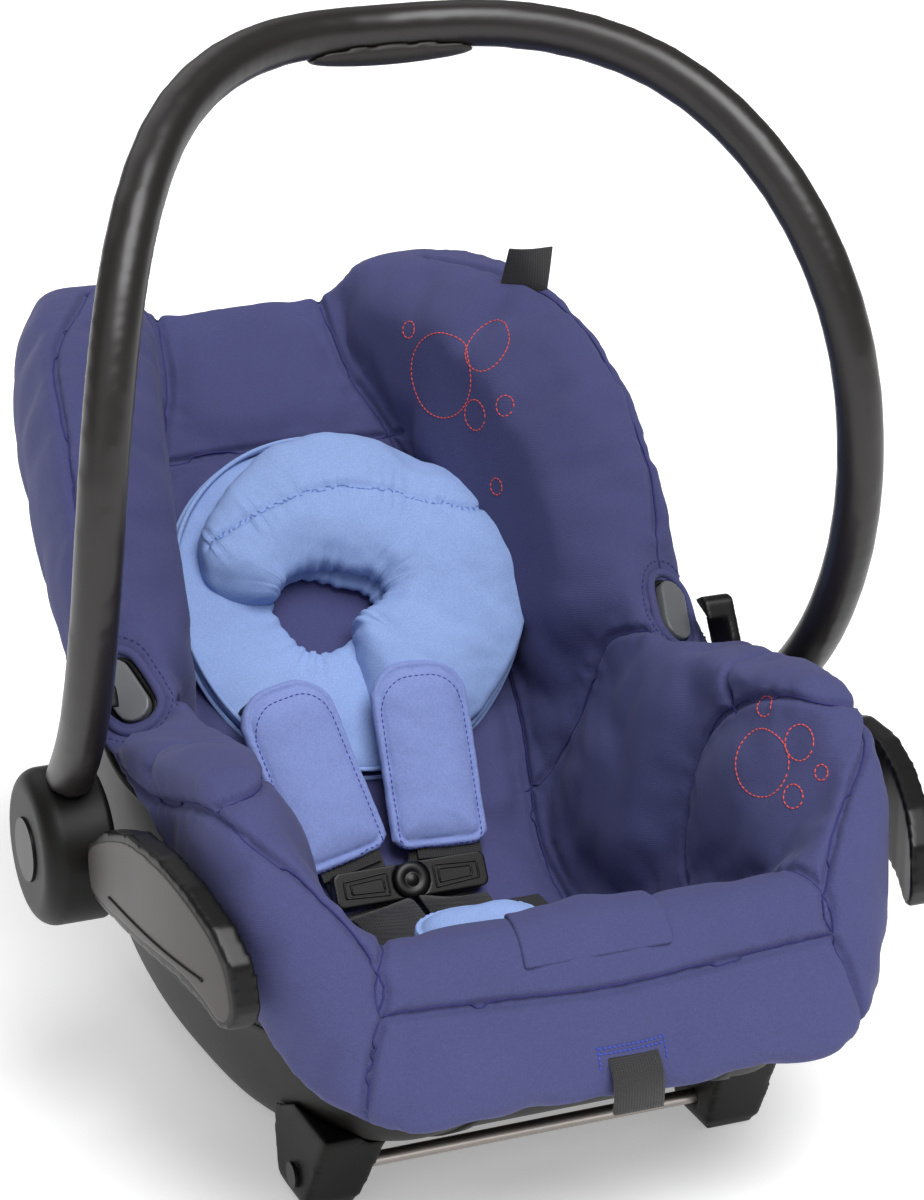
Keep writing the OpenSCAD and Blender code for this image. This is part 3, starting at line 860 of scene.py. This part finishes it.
def embroidery(cover):
    """Rings of coral stitches on one wing and one bolster."""
    tree = tree_of(cover)
    wing = [(0, 0, 25), (30, 22, 14), (30, -18, 9), (54, -8, 6), (-30, 22, 5), (52, -56, 5)]
    bolster = [(-4, 2, 17), (17, 17, 9), (20, -9, 6), (-10, 29, 5), (34, 6, 4)]
    lines = []
    for centre, out, rings in (
        (at(112, 221, 327), Vector((-0.80, -0.58, 0.15)), wing),
        (at(125, -146, 209), Vector((-0.70, -0.68, 0.2)), bolster),
    ):
        up = (Vector((0, 0, 1)) - out * out.z / out.length_squared).normalized()
        across = up.cross(out.normalized())
        for dx, dy, radius in rings:
            rays = []
            for k in range(41):
                t = 2 * math.pi * k / 40
                x, y = dx + radius * math.cos(t), dy + radius * math.sin(t)
                rays.append((centre + (across * x + up * y) * MM + out * 0.06, -out))
            loop = struck(tree, rays)
            if len(loop) > 30:
                lines.append(smooth_line(loop, 0.001))
    piece = stitches("embroidery", lines, CORAL, 0.0024, 0.0007, 0.0005, 0.0001, tree)
    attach(piece, "seat")


def front_details(cover):
    """The lip over the adjuster, and the bound slot with its bar tacks."""
    low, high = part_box("adjuster_flap")
    tree = tree_of(cover)
    centre = (low + high) / 2
    wide, deep = high.x - low.x, high.y - low.y
    verts = []
    nx, ny = 44, 16

    def lie(y):
        """Height of the cover beside the opening under the lip."""
        rays = [tree.ray_cast(Vector((side * 0.034, y, 0.4)), Vector((0, 0, -1)))[0] for side in (-1, 1)]
        return sum(p.z for p in rays) / 2

    for j in range(ny + 1):
        v = j / ny
        y = low.y - 0.002 + v * deep
        lift = 0.0005 + 0.0085 * v**3
        for i in range(nx + 1):
            u = 2 * i / nx - 1
            wave = (0.0012 * math.sin(4.4 * u + 1) + 0.0006 * math.sin(9 * u)) * v * v
            x = centre.x + u * wide / 2 * (1 - 0.10 * v * v)
            verts.append((x, y - 0.004 * u * u * v, lie(y) + lift + wave))
    lip = new_piece("adjuster_lip", verts, grid_faces(ny + 1, nx + 1), "cover_fabric")
    modifier(lip, "SOLIDIFY", thickness=0.0035, offset=0)
    modifier(lip, "BEVEL", width=0.0018, segments=3)
    modifier(lip, "SUBSURF", levels=1, render_levels=1)
    baked(lip)
    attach(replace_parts(lip, "adjuster_flap"), "seat")
    half, middle = 0.018, 0.002
    rows = []
    for x0, z0, x1, z1 in (
        (middle - half, 0.124, middle + half, 0.124), (middle - half, 0.1215, middle + half, 0.1215),
        (middle - half, 0.114, middle - half, 0.126), (middle + half, 0.114, middle + half, 0.126),
    ):
        shares = [k / 12 for k in range(13)]
        starts = [Vector((x0 + (x1 - x0) * t, cad_low.y - 0.05, z0 + (z1 - z0) * t)) for t in shares]
        rows.append(smooth_line(struck(tree, [(p, Vector((0, 1, 0))) for p in starts]), 0.001))
    tacks = stitches("slot_bar_tacks", rows, BLUE_THREAD, 0.0022, 0.0004, 0.0007, 0.0002, tree)
    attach(tacks, "seat")


def adjuster_webbing():
    """The end of the adjuster strap: out of its slot, over and down."""
    path = [(-214, 122), (-236, 121), (-250, 119), (-258, 113), (-261, 104), (-260, 92)]
    line = smooth_line([at(2, y, z) for y, z in path], 0.002)
    section = [(-0.0135, -0.0007), (-0.0129, -0.0011), (0.0129, -0.0011), (0.0135, -0.0007)]
    section += [(-x, -z) for x, z in section]
    strap = swept("adjuster_webbing", line, [(b, a) for a, b in section], "webbing", up=Vector((1, 0, 0)))
    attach(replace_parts(strap, "adjuster_strap"), "seat")


def wing_label():
    """A folded blank label sewn into the top seam of one wing."""
    low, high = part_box("wing_tag")
    base, wide, tall, sewn_in = (low + high) / 2 + Vector((0.007, 0, -0.005)), 0.027, 0.031, 0.021
    across = Vector((0.975, -0.2, -0.05)).normalized()
    rise = Vector((0.12, -0.1, 0.98)).normalized()
    out = across.cross(rise).normalized()
    verts = []
    steps, columns = 12, 10
    for j in range(steps + 1):
        v = j / steps
        for i in range(columns + 1):
            u = i / columns - 0.5
            bend = 0.0035 * math.sin(2.2 * v + 3 * u) + 0.0012 * v
            verts.append(base + across * (u * wide) + rise * (v * tall - sewn_in) + out * bend)
    label = new_piece("wing_label", verts, grid_faces(steps + 1, columns + 1), "webbing")
    modifier(label, "SOLIDIFY", thickness=0.0012, offset=0)
    modifier(label, "BEVEL", width=0.0005, segments=2)
    baked(label)
    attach(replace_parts(label, "wing_tag"), "seat")


# ---- head support ----
PILLOW = (8, 0)
HOLE = (0, -7)


def pillow_bend(x):
    """How far the pillow lifts off the back at its sides, where it lies on the wings."""
    right, left = max(0.0, x - 55), max(0.0, -x - 50)
    return 0.013 * right * right + 0.006 * left * left


def ellipse_from(origin, centre, rx, rs, turn):
    """Where a ray from the origin leaves an ellipse."""
    dx, ds = math.cos(turn), math.sin(turn)
    ox, os_ = (origin[0] - centre[0]) / rx, (origin[1] - centre[1]) / rs
    ax, as_ = dx / rx, ds / rs
    a, b, c = ax * ax + as_ * as_, ox * ax + os_ * as_, ox * ox + os_ * os_ - 1
    t = (-b + math.sqrt(max(b * b - a * c, 0))) / a
    return origin[0] + dx * t, origin[1] + ds * t


def hole_edge(turn):
    """The gathered hole: a rounded triangle."""
    r = 25 + 5.5 * math.cos(turn - 2.6) + 3.5 * math.cos(3 * turn - 0.6)
    return HOLE[0] + r * 1.12 * math.cos(turn), HOLE[1] + r * 0.86 * math.sin(turn)


def padded_ring(name, inner, outer, base, height, turns, closed, size=None):
    """A stuffed ring or horseshoe that lies over the backrest, with a crowned section."""
    around, verts = 26, []
    for i, turn in enumerate(turns):
        share = i / (len(turns) - 1)
        k = size(share) if size else 1.0
        (x0, s0), (x1, s1) = inner(turn), outer(turn)
        mx, ms = (x0 + x1) / 2, (s0 + s1) / 2
        for j in range(around):
            a = 2 * math.pi * j / around
            across = 0.5 * k * math.copysign(abs(math.cos(a)) ** 0.8, math.cos(a))
            x, s = mx + (x1 - x0) * across, ms + (s1 - s0) * across
            rise = math.copysign(abs(math.sin(a)) ** 0.75, math.sin(a))
            tall = height(turn) * k
            verts.append(on_back(x, s, base + pillow_bend(x) + tall * (0.5 + 0.5 * rise)))
    return outward(new_piece(name, verts, tube_faces(len(turns), around, closed), "pillow_fabric"))


def make_pillow():
    def disc_out(turn):
        return ellipse_from(HOLE, PILLOW, 101, 106, turn)

    def roll_out(turn):
        return ellipse_from(HOLE, (14, -2), 94, 101, turn)

    def roll_in(turn):
        x, s = hole_edge(turn)
        return HOLE[0] + (x - HOLE[0]) * 1.02, HOLE[1] + (s - HOLE[1]) * 1.02

    full = [2 * math.pi * k / 120 for k in range(120)]
    disc = padded_ring("pillow_disc", hole_edge, disc_out, 1.5, lambda t: 17, full, True)
    inflated(disc, 3.0, 0.004, frames=14)
    arc = [math.radians(163 - k * 2.5) for k in range(99)]
    roll = padded_ring(
        "pillow_horseshoe", roll_in, roll_out, 11, lambda t: 28 + 3 * math.sin(t), arc, False, round_ends(0.085)
    )
    inflated(roll, 4.0, 0.007, frames=16, slack=0.03)
    for piece, seed in ((disc, 11), (roll, 17)):
        levels = 2 if piece is roll else 1
        modifier(piece, "SUBSURF", levels=levels, render_levels=levels)
        baked(piece)
        wrinkled(piece, 0.0022, 24, seed)
    tree = tree_of(roll)
    rays = []
    for k in range(31):
        t = k / 30
        x, s = -70 + 168 * t, 37 + 24 * math.sin(math.pi * min(1, t * 1.08)) - 6 * t
        rays.append((on_back(x, s, 110), -BACK_OUT))
    seam = relaxed(smooth_line(struck(tree, rays), 0.0015), 6)
    hem = [on_back(*hole_edge(t), 20) for t in full]
    refined_near(roll, seam, 0.009)
    sewn(roll, [seam], 0.0026, 0.0026, 0.0006, 0.02, 0.0006, 0.009)
    gathered(roll, hem)
    gathered(disc, hem)
    for piece, node, fill in ((disc, "pillow_back", 0.5), (roll, "pillow_roll", 0.75)):
        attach(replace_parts(piece, node), "seat")
    tree = tree_of(roll)
    row = stitches("pillow_stitching", [seam], PILLOW_THREAD, 0.002, 0.0012, 0.0004, 0.0001, tree)
    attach(row, "seat")
    edges = []
    for rise, grow in ((5.5, 1.5), (14.5, -0.5)):
        ring = []
        for t in full:
            x, s = ellipse_from(HOLE, PILLOW, 101 + grow, 106 + grow, t)
            ring.append(on_back(x, s, rise + pillow_bend(x)))
        ring = smooth_line(ring, 0.004, closed=True)[:-1]
        edges.append(swept("edge", ring, circle(0.0014, 10), "pillow_fabric", up=BACK_OUT, closed=True))
    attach(joined("pillow_piping", edges), "seat")
    lift = 20 + pillow_bend(100) * 0.9
    tag_line = [on_back(104 + 0.5 * math.sin(v * 3), -16 + 30 * v, lift) for v in (0, 0.5, 1)]
    tag = swept("pillow_label", smooth_line(tag_line, 0.002), oblong(0.0006, 0.006), "webbing", up=BACK_OUT)
    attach(tag, "seat")


def gathered(piece, hem):
    """Pulls small gathers towards the rim of the hole."""
    co, no = coords(piece), normals(piece)
    d, k = distances(co, hem, 0.05)
    turn = 2 * math.pi * k / len(hem)
    folds = np.sin(turn * 23 + 2 * np.sin(turn * 3)) * (0.6 + 0.4 * np.sin(turn * 5))
    put(piece, co + no * (0.0013 * folds * np.exp(-((d / 0.017) ** 2)))[:, None])


# ---- harness ----
def pad_place(side, x, y, z):
    """From a harness pad's own middle to the row frame."""
    tilt, lean = math.radians(12), math.radians(-3 if side > 0 else -12)
    y, z = y * math.cos(tilt) - z * math.sin(tilt) - 106 + 160, y * math.sin(tilt) + z * math.cos(tilt) + 28.6
    across = 25 if side > 0 else 32
    turned = x * math.cos(lean) - y * math.sin(lean), x * math.sin(lean) + y * math.cos(lean)
    return on_back(side * (turned[0] + across), turned[1] - 160, z)


def stadium(wide, long, corner_top, corner_low, steps):
    """A closed outline: a rectangle with round corners, rounder at the top."""
    points = []
    for cx, cy, r, start in (
        (wide / 2 - corner_top, long / 2 - corner_top, corner_top, 0),
        (-wide / 2 + corner_top, long / 2 - corner_top, corner_top, 90),
        (-wide / 2 + corner_low, -long / 2 + corner_low, corner_low, 180),
        (wide / 2 - corner_low, -long / 2 + corner_low, corner_low, 270),
    ):
        for k in range(steps):
            t = math.radians(start + 90 * k / (steps - 1))
            points.append(Vector((cx + r * math.cos(t), cy + r * math.sin(t), 0)))
    return smooth_line(points, 2.0, closed=True)[:-1]


def bound_pad(name, outline, place, look, thick, border, crown):
    """A pad with a bound border and a crowned middle. border and outline are in millimetres."""
    centre = sum(outline, Vector()) / len(outline)
    edge = kd_of(smooth_line(outline, 0.5, closed=True))

    def height(p):
        inside = edge.find(p)[2]
        rim = math.sqrt(min(1, inside / (0.45 * border)))
        groove = 0.22 * math.exp(-(((inside - border) / (0.28 * border)) ** 2))
        swell = crown * (1 - math.exp(-((max(0, inside - border) / (1.6 * border)) ** 1.5)))
        return 0.5 * rim - groove + swell

    rows = [1 - 0.012 * k for k in range(26)] + [0.64, 0.58, 0.52, 0.45, 0.38, 0.30, 0.22, 0.14, 0.07]
    verts, around = [], len(outline)
    levels = [(r, 1) for r in reversed(rows)] + [(r, -0.7) for r in rows[1:]]
    for r, sign in levels:
        for p in outline:
            q = centre + (p - centre) * r
            verts.append(place(q.x, q.y, sign * thick * height(q)))
    faces = tube_faces(len(levels), around, capped=False)
    for row, sign in ((0, 1), (len(levels) - 1, -0.7)):
        middle = len(verts)
        verts.append(place(centre.x, centre.y, sign * thick * height(centre)))
        faces += [(row * around + k, row * around + (k + 1) % around, middle) for k in range(around)]
    return outward(new_piece(name, verts, faces, look))


def evenly_meshed(pad):
    modifier(pad, "REMESH", mode="VOXEL", voxel_size=0.0011)
    softened(pad, 6)


def make_harness():
    for word, side in SIDES.items():
        outline = stadium(58, 108, 22, 11, 9)
        pad = bound_pad(
            "shoulder_pad_" + word, outline, lambda x, y, z, s=side: pad_place(s, x, y, z),
            "pad_fabric", 9, 4.5, 0.45,
        )
        evenly_meshed(pad)
        wrinkled(pad, 0.0008, 30, 5 + side)
        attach(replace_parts(pad, "harness_pad_" + word), "seat")
        tree = tree_of(pad)
        rays = [(pad_place(side, p.x * 0.845, p.y * 0.917, 30), -BACK_OUT) for p in outline]
        line = smooth_line(struck(tree, rays), 0.0015, closed=True)
        thread = stitches(
            "shoulder_pad_stitching_" + word, [line], PAD_THREAD, 0.0024, 0.0012, 0.00045, 0.0001, tree
        )
        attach(thread, "seat")
    low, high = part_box("crotch_pad")
    middle = (low + high) / 2
    middle.z += 0.006
    outline = stadium((high.x - low.x) / MM * 1.06, (high.y - low.y) / MM, 22, 20, 9)
    slope = 0.07
    pad = bound_pad(
        "crotch_cushion", outline,
        lambda x, y, z: middle + Vector((x, y * math.cos(slope), z + y * math.sin(slope))) * MM,
        "pillow_fabric", 11, 3.5, 0.5,
    )
    evenly_meshed(pad)
    wrinkled(pad, 0.0012, 30, 9)
    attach(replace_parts(pad, "crotch_pad"), "seat")


def lower_webbing():
    """The two shoulder straps go on under the chest clip, down to the buckle."""
    section = [(-0.019, -0.0005), (-0.0185, 0.0008), (0.0185, 0.0008), (0.019, -0.0005)]
    for word, side in SIDES.items():
        start = 22 if side > 0 else 25
        path = [
            on_back(side * (start + 3), -160, 14), on_back(side * start, -176, 11),
            on_back(side * (start - 1), -188, 14), at(side * (start - 2), 20, 84),
            at(side * 21, 4, 80), at(side * 20, -8, 78),
        ]
        line = smooth_line(path, 0.002)
        strap = swept("lower_webbing_" + word, line, section, "webbing", up=BACK_OUT)
        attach(strap, "seat")


def clip_place(x, y, z):
    """From the chest clip's own middle to the row frame."""
    tilt = math.radians(12)
    s, n = y * math.cos(tilt) - z * math.sin(tilt), y * math.sin(tilt) + z * math.cos(tilt)
    return on_back(x, s - 176, n + 20)


def make_clip():
    """Framed panels on the chest clip, and its ringed button."""
    normal = (clip_place(0, 0, 1) - clip_place(0, 0, 0)).normalized()
    section = [(-0.0007, -0.0006), (-0.0005, 0.0006), (0.0005, 0.0006), (0.0007, -0.0006)]
    for word, side in SIDES.items():
        frames = []
        for inset in (0, 2.6):
            corners = [
                (14 + inset, -6.4 + inset), (40 - inset * 1.5, -4.6 + inset * 0.7),
                (40 - inset * 1.5, 4.6 - inset * 0.7), (14 + inset, 6.4 - inset),
            ]
            loop = even([clip_place(side * x, y, 5.0) for x, y in corners + corners[:1]], 0.001)[:-1]
            frames.append(swept("frame", loop, section, "trim_plastic", up=normal, closed=True))
        piece = joined("clip_panel_" + word, frames)
        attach(piece, "seat")
    profile = [
        (0, 7.2), (3.2, 7.1), (3.8, 6.6), (4.6, 6.6), (5.2, 7.0), (8.4, 6.9), (9.7, 6.5), (10.4, 5.6),
        (10.5, 3), (10.5, -1), (0, -1),
    ]
    sides = 64
    verts = [clip_place(x, y, z) for r, z in profile for x, y in circle(max(r, 0.01), sides)]
    faces = tube_faces(len(profile), sides, capped=False)
    button = outward(new_piece("clip_button_cap", verts, faces, "trim_plastic"))
    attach(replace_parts(button, "chest_clip_button"), "chest_clip_button")


def squashed_springs():
    """The two coil springs under their buttons, each wound to fill its part's box at one length; the real ones
    shorten when pressed.
    """
    for name, joint, wire, turns, keep in (
        ("buckle_spring", "buckle_press", 0.0005, 2, 0.12),
        ("adjuster_spring", "adjuster_press", 0.0006, 5, 0.62),
    ):
        low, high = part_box(name)
        middle = (low + high) / 2
        steps, reach = turns * 20, (high.x - low.x) / 2 - wire
        line = []
        for k in range(steps + 1):
            turn = 2 * math.pi * k / 20
            rise = low.z + wire + (high.z - low.z - 2 * wire) * k / steps
            line.append(Vector((middle.x + reach * math.cos(turn), middle.y + reach * math.sin(turn), rise)))
        spring = swept(name + "_coil", line, circle(wire, 8), "spring_steel")
        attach(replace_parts(spring, name), "seat")
        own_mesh(spring)


# ---- belt guides ----
GUIDE_SIDE = [
    (-50, 186), (-75, 202), (-110, 214), (-145, 215), (-172, 209), (-196, 197), (-210, 182), (-215, 160),
    (-209, 148), (-198, 146), (-184, 153), (-160, 158), (-90, 157), (-60, 157), (-50, 164),
]
GUIDE_PLAN = [(-44, 207), (-100, 204), (-140, 200), (-170, 195), (-200, 188), (-218, 182)]
GUIDE_HALF = 6.5


def guide_x(y):
    """The middle of the guide's arm in plan."""
    rows = b_spline(GUIDE_PLAN, 40)
    return float(np.interp(-y, -rows[:, 0], rows[:, 1]))


def make_guides():
    outline = smooth_line([Vector((y, z, 0)) for y, z in GUIDE_SIDE], 3.0, closed=True)[:-1]
    centre = sum(outline, Vector()) / len(outline)
    for word, side in SIDES.items():
        body = remeshed("belt_guide_body_" + word, "belt_guide_" + word, 0.0016, "trim_plastic", 5)
        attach(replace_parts(body, "belt_guide_" + word), "seat")
        inner = inset_outline(outline, 5.0)
        work = bmesh.new()
        ring = [work.verts.new((p.x, p.y, 0)) for p in inner]
        face = work.faces.new(ring)
        bmesh.ops.triangulate(work, faces=[face])
        mesh = bpy.data.meshes.new("guide_face_" + word)
        work.to_mesh(mesh)
        work.free()
        plate = added("guide_face_" + word, mesh)
        mesh.materials.append(LOOKS["guide_plastic"])
        modifier(plate, "SOLIDIFY", thickness=2.0, offset=0)
        modifier(plate, "REMESH", mode="VOXEL", voxel_size=0.9)
        modifier(plate, "SMOOTH", factor=0.5, iterations=4)
        baked(plate)
        co = coords(plate)
        put(plate, [at(side * (guide_x(y) + GUIDE_HALF - 0.35 + t * 0.9), y, z) for y, z, t in co])
        if not plate.data.materials:
            plate.data.materials.append(LOOKS["guide_plastic"])
        outward(plate)
        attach(plate, "seat")
        line = [
            at(side * (guide_x(y) + GUIDE_HALF + 0.9), y, 168 + 0.02 * (y + 130)) for y in range(-188, -82, 3)
        ]
        mark = swept("level_line_" + word, line, oblong(0.0004, 0.0008), "trim_plastic")
        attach(mark, "seat")


def inset_outline(outline, width):
    """The outline moved inwards by a width."""
    count, made = len(outline), []
    pairs = [(outline[i], outline[(i + 1) % count]) for i in range(count)]
    area = sum(p.x * q.y - q.x * p.y for p, q in pairs)
    turn = 1 if area > 0 else -1
    for i, p in enumerate(outline):
        way = (outline[(i + 1) % count] - outline[i - 1]).normalized()
        made.append(p + Vector((-way.y, way.x, 0)) * (turn * width))
    return made


# ---- CAD nodes that stay, finished ----
def finish_nodes():
    """Gives each CAD node that stays its material, soft edges and smooth shading."""
    slots = {s["node"]: s["material_slot"] for s in frame["record"]["subparts"]}
    # Voxel size and rounds of smoothing, for both sides where there are two
    soft_edge = {
        "handle_tube": (0.003, 10), "handle_grip": (0.0016, 6), "foot": (0.002, 5), "belt_hook": (0.0013, 4),
        "button_housing": (0.001, 3), "release_button": (0.0009, 6), "chest_clip": (0.0007, 3),
    }
    for name, node in frame["nodes"].items():
        look = HUB_PLASTIC if name in ("hub_left", "hub_right") else LOOKS[slots[name]]
        if not node.data.materials:
            node.data.materials.append(look)
        for k in range(len(node.data.materials)):
            node.data.materials[k] = look
        if node.hide_render:
            continue
        kind = name.removesuffix("_left").removesuffix("_right")
        if kind in soft_edge:
            voxel, rounds = soft_edge[kind]
            modifier(node, "REMESH", mode="VOXEL", voxel_size=voxel, use_smooth_shade=True)
            modifier(node, "SMOOTH", factor=0.5, iterations=rounds)
        else:
            sharp = math.radians(40)
            modifier(node, "BEVEL", width=0.0006, segments=2, limit_method="ANGLE", angle_limit=sharp)


def make_stage():
    """A wide pale floor and soft light, most of it from above."""
    far = 20
    corners = [(-far, -far, 0), (far, -far, 0), (far, far, 0), (-far, far, 0)]
    new_piece("floor", corners, [(0, 1, 2, 3)], plain_floor(), False)
    world = bpy.data.worlds.new("studio")
    bpy.context.scene.world = world
    world.use_nodes = True
    world.node_tree.nodes["Background"].inputs["Color"].default_value = (1, 1, 1, 1)
    world.node_tree.nodes["Background"].inputs["Strength"].default_value = 0.22
    bpy.context.scene.view_settings.view_transform = "Standard"
    soft_light("key", (0.12, -0.8, 1.3), 3.1, 0.7)
    soft_light("fill", (-1.1, -1.0, 0.9), 0.4, 1.0)
    soft_light("back", (-0.3, 1.2, 1.3), 0.6, 1.0)


def plain_floor():
    m = Nodes("floor")
    m.link(m.ramp(m.noise(3), (0.86, 0.86, 0.86), (0.9, 0.9, 0.9)), m.shader.inputs["Base Color"])
    m.shade({"Roughness": 0.9, "Emission Color": (1, 1, 1, 1), "Emission Strength": 0.35})
    return m.material


shell, shell_rows = make_shell()
shell_ribs(shell, shell_rows)
cover = make_cover()
bound_cutouts(cover)
embroidery(cover)
front_details(cover)
adjuster_webbing()
wing_label()
make_pillow()
make_harness()
lower_webbing()
make_clip()
squashed_springs()
make_guides()
finish_nodes()
make_stage()
